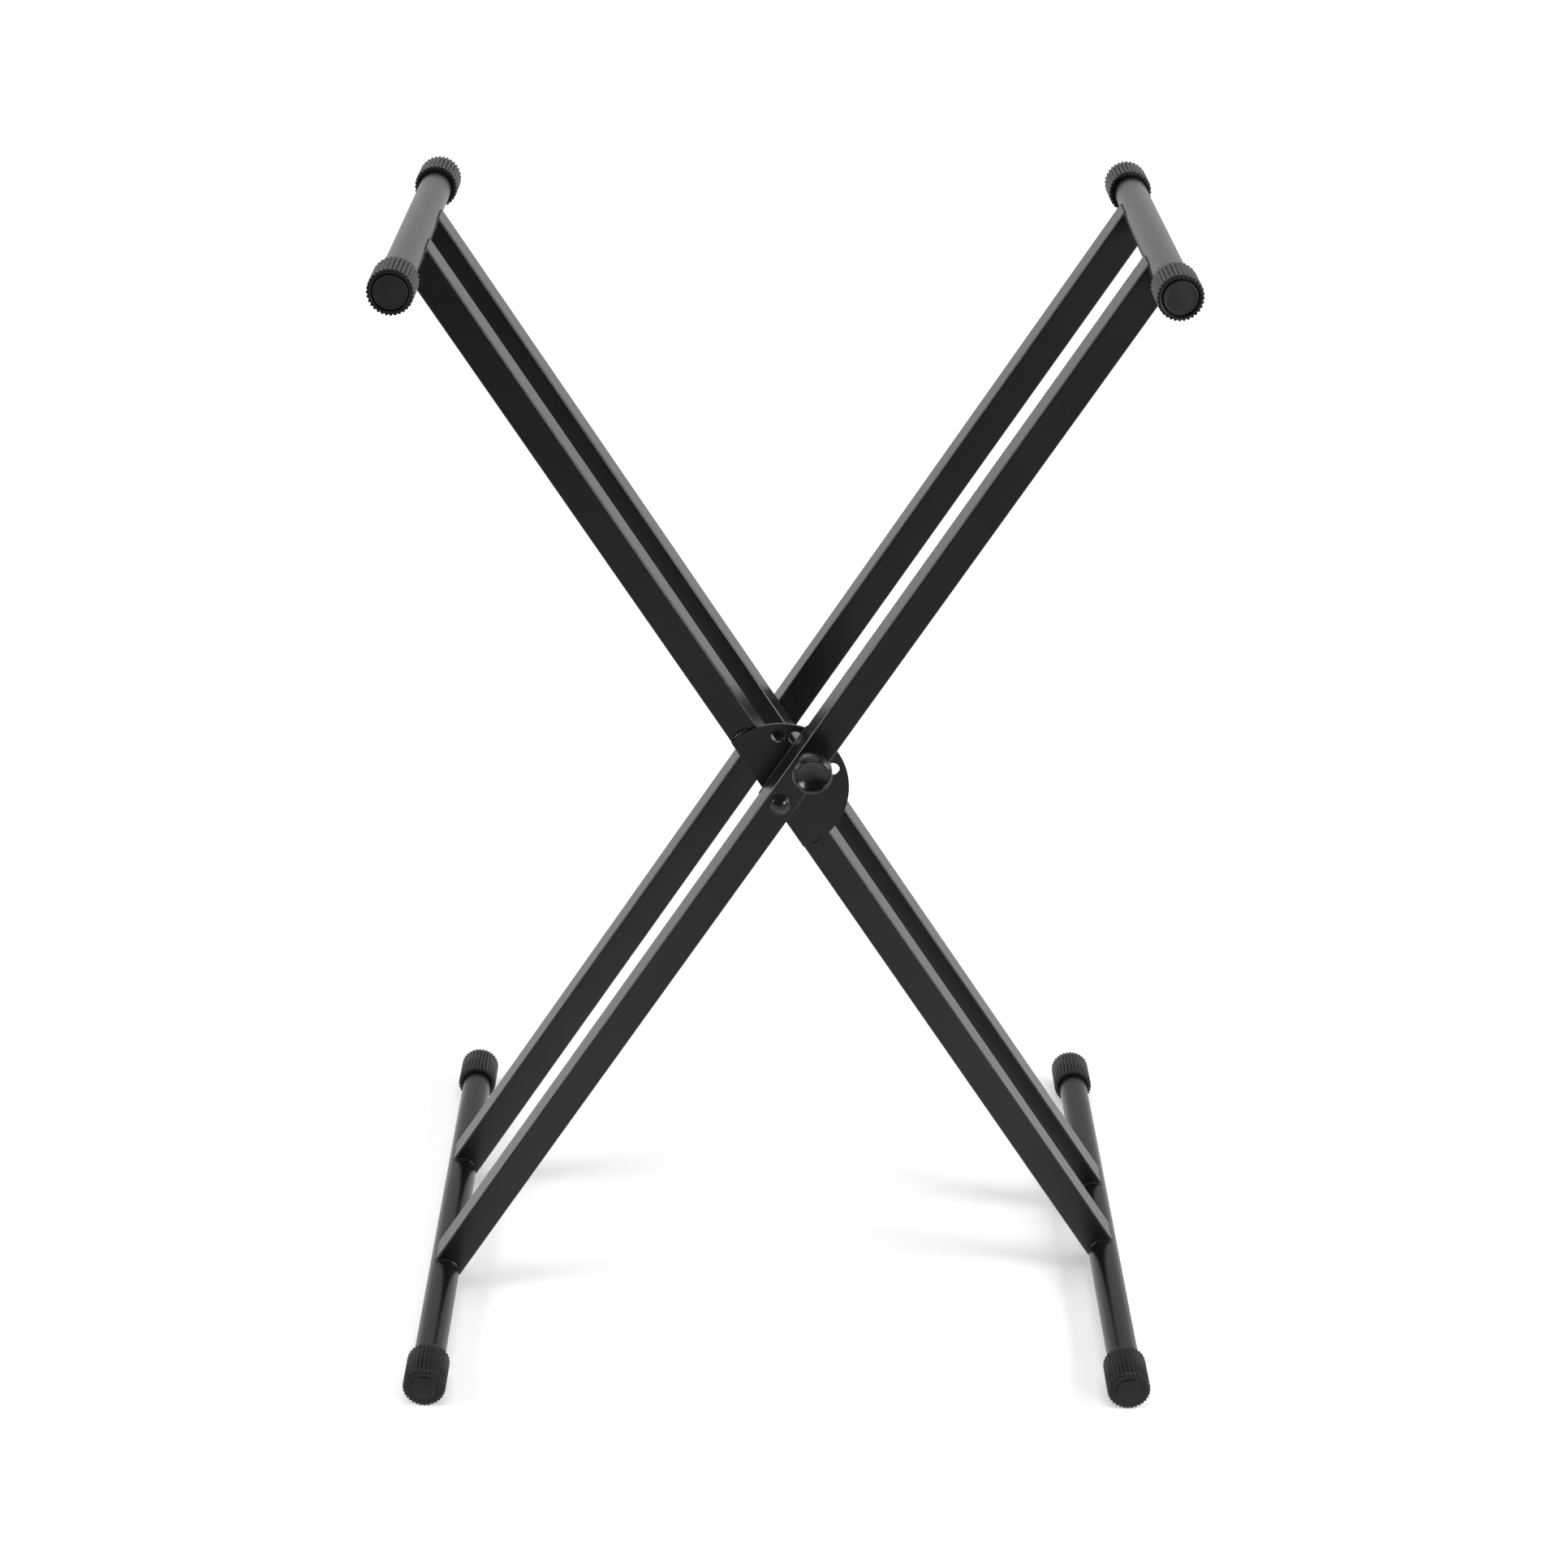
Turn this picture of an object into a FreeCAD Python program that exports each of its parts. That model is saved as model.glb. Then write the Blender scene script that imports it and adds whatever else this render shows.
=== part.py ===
import FreeCAD
import Part
import Sketcher
import math
import os

# A folding keyboard stand with two crossed pairs of arms.  Millimetres, +Z up.
# X runs across the cross, -Y is the front with the locking knob, and the origin
# is on the floor under the pivots, half-way between the front and rear bars.

Vector = FreeCAD.Vector
Placement = FreeCAD.Placement
Rotation = FreeCAD.Rotation

DIMENSIONS = {
    # arms
    "arm_reach": 517,         # pivot to the axis of the tube at either end of an arm
    "half_angle": 32.9,       # lean of each arm from upright, in degrees
    "bar_width": 25,
    "bar_depth": 30,
    "bar_wall": 1.2,
    "bar_corner": 1.6,        # outside corner radius of the bar section
    "bar_setback": 6,         # the bar's end stops this far short of the tube's axis
    "weld_gap": 0.05,         # root gap between a coped end and its tube
    "frame_depth": 198,       # front face of the front bars to rear face of the rear bars
    "joint_gap": 6,           # between the two bars that cross at one side
    # cross tubes
    "tube_diameter": 25.4,
    "tube_wall": 1.5,
    "top_tube_length": 370.4,
    "floor_tube_length": 530,
    # ribbed rubber
    "rib_count": 32,
    "rib_crest_radius": 17.15,
    "rib_root_radius": 16,
    "rib_crest_width": 1.7,
    "rib_root_width": 2.6,
    "rubber_length": 39,
    "rubber_fit": 0.05,
    "foot_wall": 4,
    "foot_disc_radius": 10.2,
    "foot_disc_height": 0.8,
    # end plugs of the top tubes
    "plug_radius": 13.3,
    "plug_flange": 1.9,
    "plug_dome": 0.7,
    "plug_spigot": 16,
    "plug_seat_radius": 14,
    "plug_seat_depth": 2.8,
    # pivots
    "bush_radius": 6,
    "bolt_radius": 4,
    "running_fit": 0.05,
    "bolt_head_radius": 6,
    "bolt_head_height": 2.2,
    "bolt_length": 77.5,
    "socket_flats": 4,
    "cap_radius": 8.8,
    "cap_flange": 1,
    "cap_dome_radius": 7.7,
    "cap_height": 4.6,
    "spacer_radius": 11,
    "front_spacer": 1,
    "rear_spacer": 5.7,
    "end_float": 0.2,
    "washer_radius": 8,
    "washer_thickness": 1.6,
    "nut_flats": 13,
    "nut_height": 6.5,
    "nut_collar": 1.5,
    # locking plate
    "plate_radius": 55.2,
    "plate_thickness": 3,
    "plate_setback": 0.5,     # its straight edge inside the bar's edge
    "lock_radius": 45,        # pivot to the locking pin's axis
    "lock_hole_radius": 5.4,
    "lock_hole_count": 5,
    "lock_hole_step": 17.85,  # degrees between neighbouring locking holes
    # backing plate on the outer front bar's inside face
    "backing_width": 25.8,
    "backing_thickness": 1.5,
    "backing_low": 13.5,      # pivot to its lower end
    "backing_high": 58.5,     # pivot to its upper end
    "backing_corner": 1.5,
    # spring plunger
    "housing_radius": 7,
    "housing_nose": 20,       # how far the housing stands out of the bar
    "chamber_radius": 5.8,
    "chamber_floor": 22,      # depth of the spring chamber behind the bar's face
    "pin_radius": 4.8,
    "pin_tip": 32.6,
    "pin_chamfer": 1,
    "collar_radius": 5.6,
    "collar_seat": 14,
    "collar_end": 17,
    "stem_radius": 3,
    "stem_end": 27,
    "guide_length": 3,
    "spring_radius": 4.4,
    "spring_wire": 1.2,
    "spring_turns": 7,
    "spring_segments": 12,    # straight runs in one turn
    "spring_sides": 6,
    "knob_radius": 15.2,
    "knob_rear": 18,
    "knob_front": 32,
    "knob_edge": 1.2,
    "knurl_count": 60,
    "knurl_height": 0.5,
    "knurl_width": 0.7,
    "knob_socket_radius": 7.4,
    "knob_cap_radius": 12.5,
    "knob_cap_seat": 4.6,
    "knob_cap_lip": 0.3,      # how far the cap lies below the knob's front
    "knob_cap_dish": 3.4,
}

doc = FreeCAD.newDocument("keyboard_stand")
sheet = doc.addObject("Spreadsheet::Sheet", "Size")
for row, (alias, amount) in enumerate(DIMENSIONS.items(), start=1):
    sheet.set("A%d" % row, alias)
    sheet.set("B%d" % row, str(amount))
    sheet.setAlias("B%d" % row, alias)
doc.recompute()

parts = []


def number(expression):
    """The value of an expression in the sheet's names, such as "Size.bar_width / 2"."""
    value = sheet.evalExpression(expression)
    return float(getattr(value, "Value", value))


# --- sketching ---------------------------------------------------------------

def new_body(name, placement):
    body = doc.addObject("PartDesign::Body", name)
    body.Label = name
    body.Placement = placement
    parts.append(body)
    return body


def origin_feature(body, role):
    return next(f for f in body.Origin.OriginFeatures if f.Role == role)


def new_sketch(body, name, role="XY_Plane"):
    sketch = body.newObject("Sketcher::SketchObject", name)
    sketch.AttachmentSupport = (origin_feature(body, role), [""])
    sketch.MapMode = "FlatFace"
    return sketch


def bind(sketch, kind, references, expression):
    index = sketch.addConstraint(Sketcher.Constraint(kind, *references, number(expression)))
    sketch.setExpression("Constraints[%d]" % index, expression)


def fix_point(sketch, geometry, end, across, up):
    """Hold one point of a sketch at (across, up), both given as expressions."""
    if abs(number(across)) < 1e-9:
        sketch.addConstraint(Sketcher.Constraint("PointOnObject", geometry, end, -2))
    else:
        bind(sketch, "DistanceX", (-1, 1, geometry, end), across)
    if abs(number(up)) < 1e-9:
        sketch.addConstraint(Sketcher.Constraint("PointOnObject", geometry, end, -1))
    else:
        bind(sketch, "DistanceY", (-1, 1, geometry, end), up)


def circle(sketch, radius, across="0", up="0"):
    centre = Vector(number(across), number(up), 0)
    index = sketch.addGeometry(Part.Circle(centre, Vector(0, 0, 1), number(radius)))
    bind(sketch, "Radius", (index,), radius)
    fix_point(sketch, index, 3, across, up)


def crown(radius, base, height, steps=5):
    """Points of a shallow dome, from its rim at height base out to its crown on the axis."""
    shares = [1 - step / steps for step in range(steps)]
    points = [("(%s) * %g" % (radius, share),
               "%s - (%s) * %g" % (base, height, 1 - share ** 2)) for share in shares]
    return points + [("0", "%s - (%s)" % (base, height))]


def outline(sketch, points):
    """Close a chain of straight edges through points, each (across, up) as expressions."""
    places = [Vector(number(across), number(up), 0) for across, up in points]
    ends = places[1:] + places[:1]
    edges = [sketch.addGeometry(Part.LineSegment(a, b)) for a, b in zip(places, ends)]
    for edge, before, (across, up) in zip(edges, edges[-1:] + edges[:-1], points):
        sketch.addConstraint(Sketcher.Constraint("Coincident", before, 2, edge, 1))
        fix_point(sketch, edge, 1, across, up)


def rounded_rectangle(sketch, width, depth, radius):
    half_x = number(width) / 2
    half_y = number(depth) / 2
    corner = number(radius)
    lines = []
    arcs = []
    for quarter in range(4):
        turn = math.radians(90 * quarter)
        reach = (half_x, half_y) if quarter % 2 == 0 else (half_y, half_x)
        axis = Vector(math.cos(turn), math.sin(turn), 0)
        side = Vector(-axis.y, axis.x, 0)
        low = axis * reach[0] - side * (reach[1] - corner)
        high = axis * reach[0] + side * (reach[1] - corner)
        centre = axis * (reach[0] - corner) + side * (reach[1] - corner)
        lines.append(sketch.addGeometry(Part.LineSegment(low, high)))
        round_corner = Part.Circle(centre, Vector(0, 0, 1), corner)
        arcs.append(sketch.addGeometry(Part.ArcOfCircle(round_corner, turn, turn + math.pi / 2)))
    for quarter in range(4):
        line, arc = lines[quarter], arcs[quarter]
        following = lines[(quarter + 1) % 4]
        sketch.addConstraint(Sketcher.Constraint("Tangent", line, 2, arc, 1))
        sketch.addConstraint(Sketcher.Constraint("Tangent", arc, 2, following, 1))
        direction = "Vertical" if quarter % 2 == 0 else "Horizontal"
        sketch.addConstraint(Sketcher.Constraint(direction, line))
    for arc in arcs[1:]:
        sketch.addConstraint(Sketcher.Constraint("Equal", arcs[0], arc))
    bind(sketch, "Radius", (arcs[0],), radius)
    bind(sketch, "DistanceX", (-1, 1, lines[0], 1), "(%s) / 2" % width)
    bind(sketch, "DistanceX", (lines[2], 1, -1, 1), "(%s) / 2" % width)
    bind(sketch, "DistanceY", (-1, 1, lines[1], 1), "(%s) / 2" % depth)
    bind(sketch, "DistanceY", (lines[3], 1, -1, 1), "(%s) / 2" % depth)


def pad(body, sketch, length, symmetric=False, name="pad"):
    feature = body.newObject("PartDesign::Pad", name)
    feature.Profile = sketch
    feature.SideType = "Symmetric" if symmetric else "One side"
    feature.Length = number(length)
    feature.setExpression("Length", length)
    return feature


def cut_through(body, sketch, name):
    feature = body.newObject("PartDesign::Pocket", name)
    feature.Profile = sketch
    feature.SideType = "Symmetric"
    feature.Type = "ThroughAll"
    return feature


def turned(body, points, name="turned"):
    """Revolve a profile of (radius, height) points about the body's Z axis."""
    sketch = new_sketch(body, name + "_profile", "XZ_Plane")
    outline(sketch, points)
    feature = body.newObject("PartDesign::Revolution", name)
    feature.Profile = sketch
    feature.ReferenceAxis = (sketch, ["V_Axis"])
    feature.Angle = 360
    return feature


def repeat_round(body, feature, count, angle, axis, name):
    pattern = body.newObject("PartDesign::PolarPattern", name)
    pattern.Originals = [feature]
    pattern.Axis = (origin_feature(body, axis), [""])
    pattern.Angle = number(angle)
    pattern.Occurrences = int(number(count))
    pattern.setExpression("Angle", angle)
    pattern.setExpression("Occurrences", count)
    body.Tip = pattern
    return pattern


def hexagon(sketch, flats):
    corners = ["30 deg", "90 deg", "150 deg", "210 deg", "270 deg", "330 deg"]
    size = "%s / sqrt(3)" % flats
    outline(sketch, [("%s * cos(%s)" % (size, a), "%s * sin(%s)" % (size, a)) for a in corners])


# --- places --------------------------------------------------------------------

LEAN = number("Size.half_angle")
REACH = number("Size.arm_reach")
HALF_DEPTH = number("Size.frame_depth / 2")
PIVOT_HEIGHT = REACH * math.cos(math.radians(LEAN)) + number("Size.rib_crest_radius")
SPREAD = REACH * math.sin(math.radians(LEAN))
RISE = REACH * math.cos(math.radians(LEAN))
SIDES = {"front": -1, "rear": 1}
ARMS = {"outer": 1, "inner": -1}


def arm_frame(arm):
    """An arm's own frame: origin at the pivot, +Z up the arm, Y as the stand's."""
    return Placement(Vector(0, 0, PIVOT_HEIGHT), Rotation(Vector(0, 1, 0), ARMS[arm] * LEAN))


def facing_in(side):
    """Turns a piece so that its +Z points from one side of the stand to the middle."""
    return Rotation(Vector(1, 0, 0), 90 * SIDES[side])


def on_arm(arm, across, depth, along, rotation=Rotation()):
    return arm_frame(arm) * Placement(Vector(across, depth, along), rotation)


def bar_middle(arm, side):
    inset = number("Size.bar_depth / 2")
    if arm == "inner":
        inset += number("Size.bar_depth + Size.joint_gap")
    return SIDES[side] * (HALF_DEPTH - inset)


def tube_end(arm, level, side, half_length):
    """Frame at one end of a cross tube, +Z into the tube."""
    upward = 1 if level == "top" else -1
    place = Vector(ARMS[arm] * upward * SPREAD, SIDES[side] * half_length, PIVOT_HEIGHT + upward * RISE)
    return Placement(place, facing_in(side))


def pivot_end(side):
    """Frame on the outer bar's outside face at the pivot, +Z towards the middle."""
    return Placement(Vector(0, SIDES[side] * HALF_DEPTH, PIVOT_HEIGHT), facing_in(side))


# --- welded frames ---------------------------------------------------------------

def make_bar(arm, side):
    """Rectangular tube, coped over the cross tubes, with bores for its pivot and lock."""
    name = "%s_%s_bar" % (arm, side)
    body = new_body(name, on_arm(arm, 0, bar_middle(arm, side), 0))
    section = new_sketch(body, "section")
    rounded_rectangle(section, "Size.bar_width", "Size.bar_depth", "Size.bar_corner")
    rounded_rectangle(section, "Size.bar_width - 2 * Size.bar_wall",
                      "Size.bar_depth - 2 * Size.bar_wall", "Size.bar_corner - Size.bar_wall")
    pad(body, section, "2 * (Size.arm_reach - Size.bar_setback)", symmetric=True, name="bar")
    copes = new_sketch(body, "copes", "XZ_Plane")
    for level in ("Size.arm_reach", "-Size.arm_reach"):
        circle(copes, "Size.tube_diameter / 2 + Size.weld_gap", "0", level)
    cut_through(body, copes, "coped_ends")
    bores = new_sketch(body, "bores", "XZ_Plane")
    circle(bores, "Size.bush_radius")
    if name == "outer_front_bar":
        circle(bores, "Size.housing_radius", "0", "Size.lock_radius")
    cut_through(body, bores, "bored")


def make_tube(arm, level, length):
    upward = 1 if level == "top" else -1
    place = Vector(ARMS[arm] * upward * SPREAD, 0, PIVOT_HEIGHT + upward * RISE)
    body = new_body("%s_%s_tube" % (arm, level), Placement(place, facing_in("front")))
    section = new_sketch(body, "section")
    circle(section, "Size.tube_diameter / 2")
    circle(section, "Size.tube_diameter / 2 - Size.tube_wall")
    pad(body, section, length, symmetric=True, name="tube")


def make_bush(arm, side):
    place = on_arm(arm, 0, bar_middle(arm, side), 0, facing_in("front"))
    body = new_body("%s_%s_bush" % (arm, side), place)
    section = new_sketch(body, "section")
    circle(section, "Size.bush_radius")
    circle(section, "Size.bolt_radius + Size.running_fit")
    pad(body, section, "Size.bar_depth", symmetric=True, name="bush")


def make_locking_plate():
    """Sector plate on the inner front bar: a disc cut off along the bar's edge, with five holes."""
    face = -HALF_DEPTH + number("Size.bar_depth + Size.joint_gap - Size.plate_thickness / 2")
    body = new_body("locking_plate", on_arm("inner", 0, face, 0))
    sector = new_sketch(body, "sector", "XZ_Plane")
    radius = number("Size.plate_radius")
    chord = math.acos(-number("Size.bar_width / 2 - Size.plate_setback") / radius)
    rim = Part.Circle(Vector(), Vector(0, 0, 1), radius)
    arc = sector.addGeometry(Part.ArcOfCircle(rim, -chord, chord))
    low = sector.getPoint(arc, 1)
    high = sector.getPoint(arc, 2)
    line = sector.addGeometry(Part.LineSegment(high, low))
    sector.addConstraint(Sketcher.Constraint("Coincident", arc, 3, -1, 1))
    sector.addConstraint(Sketcher.Constraint("Coincident", arc, 2, line, 1))
    sector.addConstraint(Sketcher.Constraint("Coincident", line, 2, arc, 1))
    sector.addConstraint(Sketcher.Constraint("Vertical", line))
    bind(sector, "Radius", (arc,), "Size.plate_radius")
    bind(sector, "DistanceX", (line, 1, -1, 1), "Size.bar_width / 2 - Size.plate_setback")
    pad(body, sector, "Size.plate_thickness", symmetric=True, name="plate")
    eye = new_sketch(body, "eye", "XZ_Plane")
    circle(eye, "Size.bolt_radius + Size.running_fit")
    cut_through(body, eye, "pivot_hole")
    # The middle hole lies under the outer arm's pin, so the first is two steps before it.
    first_angle = "(90 - 2 * Size.half_angle - 2 * Size.lock_hole_step) * 1 deg"
    hole = new_sketch(body, "first_hole", "XZ_Plane")
    circle(hole, "Size.lock_hole_radius", "Size.lock_radius * cos(%s)" % first_angle,
           "Size.lock_radius * sin(%s)" % first_angle)
    first = cut_through(body, hole, "first_locking_hole")
    row = repeat_round(body, first, "Size.lock_hole_count",
                       "Size.lock_hole_step * (Size.lock_hole_count - 1)", "Y_Axis", "locking_holes")
    row.Reversed = True


def make_backing_plate():
    """Hard strip behind the outer front bar: the pin runs through it and the spacer bears on it."""
    back = -HALF_DEPTH + number("Size.bar_depth + Size.backing_thickness / 2")
    body = new_body("backing_plate", on_arm("outer", 0, back, 0))
    strip = new_sketch(body, "strip", "XZ_Plane")
    half = "Size.backing_width / 2"
    cut = "Size.backing_corner"
    outline(strip, [
        ("-(%s)" % half, "-Size.backing_low + " + cut),
        ("-(%s) + %s" % (half, cut), "-Size.backing_low"),
        ("%s - %s" % (half, cut), "-Size.backing_low"),
        (half, "-Size.backing_low + " + cut),
        (half, "Size.backing_high - " + cut),
        ("%s - %s" % (half, cut), "Size.backing_high"),
        ("-(%s) + %s" % (half, cut), "Size.backing_high"),
        ("-(%s)" % half, "Size.backing_high - " + cut),
    ])
    pad(body, strip, "Size.backing_thickness", symmetric=True, name="plate")
    holes = new_sketch(body, "holes", "XZ_Plane")
    circle(holes, "Size.bolt_radius + Size.running_fit")
    circle(holes, "Size.lock_hole_radius", "0", "Size.lock_radius")
    cut_through(body, holes, "bored")


# --- rubber and plastic ends --------------------------------------------------------

def add_ribs(body):
    """Flat-topped ribs along the rubber, one of them straight up and one straight down."""
    rib = new_sketch(body, "rib_section")
    outline(rib, [
        ("-Size.rib_root_width / 2", "Size.rib_root_radius - 0.4"),
        ("Size.rib_root_width / 2", "Size.rib_root_radius - 0.4"),
        ("Size.rib_crest_width / 2", "Size.rib_crest_radius"),
        ("-Size.rib_crest_width / 2", "Size.rib_crest_radius"),
    ])
    first = pad(body, rib, "Size.rubber_length", name="first_rib")
    repeat_round(body, first, "Size.rib_count", "360", "Z_Axis", "ribs")


def make_grip(arm, side):
    """Ribbed sleeve on a top tube, open at its outer end round the tube's plug."""
    end = number("Size.top_tube_length / 2 + Size.plug_seat_depth")
    body = new_body("%s_%s_grip" % (arm, side), tube_end(arm, "top", side, end))
    turned(body, [
        ("Size.plug_seat_radius", "0"),
        ("Size.rib_root_radius", "0"),
        ("Size.rib_root_radius", "Size.rubber_length"),
        ("Size.tube_diameter / 2 + Size.rubber_fit", "Size.rubber_length"),
        ("Size.tube_diameter / 2 + Size.rubber_fit", "Size.plug_seat_depth"),
        ("Size.plug_seat_radius", "Size.plug_seat_depth"),
    ], "sleeve")
    add_ribs(body)


def make_foot(arm, side):
    """Closed ribbed cap on a floor tube, with a low disc on its end."""
    end = number("Size.floor_tube_length / 2 + Size.foot_wall")
    body = new_body("%s_%s_foot" % (arm, side), tube_end(arm, "floor", side, end))
    turned(body, [
        ("0", "-Size.foot_disc_height"),
        ("Size.foot_disc_radius", "-Size.foot_disc_height"),
        ("Size.foot_disc_radius", "0"),
        ("Size.rib_root_radius", "0"),
        ("Size.rib_root_radius", "Size.rubber_length"),
        ("Size.tube_diameter / 2 + Size.rubber_fit", "Size.rubber_length"),
        ("Size.tube_diameter / 2 + Size.rubber_fit", "Size.foot_wall"),
        ("0", "Size.foot_wall"),
    ], "cap")
    add_ribs(body)


def make_plug(arm, side):
    """Domed plug: its flange covers the tube's end and its hollow spigot fills the bore."""
    place = tube_end(arm, "top", side, number("Size.top_tube_length / 2"))
    body = new_body("%s_%s_plug" % (arm, side), place)
    spigot = "Size.tube_diameter / 2 - Size.tube_wall - Size.rubber_fit"
    turned(body, crown("Size.plug_radius", "-Size.plug_flange", "Size.plug_dome") + [
        ("0", "2"),
        (spigot + " - 1.5", "2"),
        (spigot + " - 1.5", "Size.plug_spigot"),
        (spigot, "Size.plug_spigot"),
        (spigot, "0"),
        ("Size.plug_radius", "0"),
    ], "plug")


# --- pivots ---------------------------------------------------------------------------

def make_pivot_bolt(side):
    body = new_body("%s_pivot_bolt" % side, pivot_end(side))
    turned(body, [
        ("0", "-Size.bolt_head_height"),
        ("Size.bolt_head_radius - 1", "-Size.bolt_head_height"),
        ("Size.bolt_head_radius", "1 - Size.bolt_head_height"),
        ("Size.bolt_head_radius", "0"),
        ("Size.bolt_radius", "0"),
        ("Size.bolt_radius", "Size.bolt_length - 1"),
        ("Size.bolt_radius - 1", "Size.bolt_length"),
        ("0", "Size.bolt_length"),
    ], "bolt")
    socket = new_sketch(body, "socket")
    hexagon(socket, "Size.socket_flats")
    recess = body.newObject("PartDesign::Pocket", "hex_socket")
    recess.Profile = socket
    recess.SideType = "Two sides"
    recess.Length = number("Size.bolt_head_height - 1")
    recess.Length2 = number("Size.bolt_head_height")
    socket.AttachmentOffset = Placement(Vector(0, 0, -1), Rotation())


def make_pivot_cap(side):
    """Flanged, domed cap that hides the bolt's head."""
    body = new_body("%s_pivot_cap" % side, pivot_end(side))
    dome = crown("Size.cap_dome_radius", "-Size.cap_flange", "Size.cap_height - Size.cap_flange")
    turned(body, dome + [
        ("0", "-Size.bolt_head_height - 0.2"),
        ("Size.bolt_head_radius - 1", "-Size.bolt_head_height - 0.2"),
        ("Size.bolt_head_radius + 0.1", "0.8 - Size.bolt_head_height"),
        ("Size.bolt_head_radius + 0.1", "0"),
        ("Size.cap_radius", "0"),
        ("Size.cap_radius", "-Size.cap_flange"),
    ], "cap")


def make_ring(name, side, radius, bore, start, thickness):
    """A washer or spacer on the pivot bolt, start deep from the outside face."""
    place = pivot_end(side) * Placement(Vector(0, 0, number(start)), Rotation())
    body = new_body(name, place)
    section = new_sketch(body, "section")
    circle(section, radius)
    circle(section, bore)
    pad(body, section, thickness, name="ring")


def make_pivot_nut(side):
    seat = number("2 * Size.bar_depth + Size.joint_gap + Size.end_float + Size.washer_thickness")
    place = pivot_end(side) * Placement(Vector(0, 0, seat), Rotation())
    body = new_body("%s_pivot_nut" % side, place)
    flats = new_sketch(body, "flats")
    hexagon(flats, "Size.nut_flats")
    pad(body, flats, "Size.nut_height", name="hexagon")
    collar = new_sketch(body, "collar_section")
    circle(collar, "Size.nut_flats / 2 - 0.4")
    pad(body, collar, "Size.nut_height + Size.nut_collar", name="collar")
    bore = new_sketch(body, "bore")
    circle(bore, "Size.bolt_radius + Size.running_fit")
    cut_through(body, bore, "thread_hole")


# --- spring plunger: heights are depths behind the outer front bar's face ----------------

def lock_frame():
    return on_arm("outer", 0, -HALF_DEPTH, number("Size.lock_radius"), facing_in("front"))


def make_lock_housing():
    """Steel sleeve welded through the bar, with a spring chamber and a bore for the pin."""
    body = new_body("lock_housing", lock_frame())
    turned(body, [
        ("Size.chamber_radius", "-Size.housing_nose"),
        ("Size.housing_radius", "-Size.housing_nose"),
        ("Size.housing_radius", "Size.bar_depth"),
        ("Size.pin_radius + Size.running_fit", "Size.bar_depth"),
        ("Size.pin_radius + Size.running_fit", "Size.chamber_floor"),
        ("Size.chamber_radius", "Size.chamber_floor"),
    ], "housing")


def make_lock_guide():
    """Bush pressed into the housing's mouth: it guides the stem and the spring pushes on it."""
    body = new_body("lock_guide", lock_frame())
    turned(body, [
        ("Size.stem_radius + Size.running_fit", "-Size.housing_nose"),
        ("Size.chamber_radius - Size.rubber_fit", "-Size.housing_nose"),
        ("Size.chamber_radius - Size.rubber_fit", "Size.guide_length - Size.housing_nose"),
        ("Size.stem_radius + Size.running_fit", "Size.guide_length - Size.housing_nose"),
    ], "guide")


def make_lock_pin():
    """Pin, spring collar and stem in one turned piece."""
    body = new_body("lock_pin", lock_frame())
    turned(body, [
        ("0", "-Size.stem_end"),
        ("Size.stem_radius", "-Size.stem_end"),
        ("Size.stem_radius", "Size.collar_seat"),
        ("Size.collar_radius", "Size.collar_seat"),
        ("Size.collar_radius", "Size.collar_end"),
        ("Size.pin_radius", "Size.collar_end"),
        ("Size.pin_radius", "Size.pin_tip - Size.pin_chamfer"),
        ("Size.pin_radius - Size.pin_chamfer", "Size.pin_tip"),
        ("0", "Size.pin_tip"),
    ], "pin")


def make_lock_spring():
    """Compression spring between the guide and the pin's collar, wound in short straight runs."""
    radius = number("Size.spring_radius")
    wire = number("Size.spring_wire / 2")
    low = number("Size.guide_length - Size.housing_nose + 0.6 * Size.spring_wire")
    high = number("Size.collar_seat - 0.6 * Size.spring_wire")
    segments = int(number("Size.spring_segments"))
    runs = int(number("Size.spring_turns")) * segments
    sides = int(number("Size.spring_sides"))
    path = []
    for run in range(runs + 1):
        turn = 2 * math.pi * run / segments
        along = low + (high - low) * run / runs
        path.append(Vector(radius * math.cos(turn), radius * math.sin(turn), along))
    ahead = (path[1] - path[0]).normalize()
    out = Vector(1, 0, 0)
    out = (out - ahead * out.dot(ahead)).normalize()
    across = ahead.cross(out)
    corners = []
    for side in range(sides):
        turn = 2 * math.pi * side / sides
        corners.append(path[0] + out * (wire * math.cos(turn)) + across * (wire * math.sin(turn)))
    section = Part.makePolygon(corners + corners[:1])
    mitred = 1
    spring = doc.addObject("Part::Feature", "lock_spring")
    spring.Label = "lock_spring"
    spring.Shape = Part.Wire(Part.makePolygon(path)).makePipeShell([section], True, False, mitred)
    spring.Placement = lock_frame()
    parts.append(spring)


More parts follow.
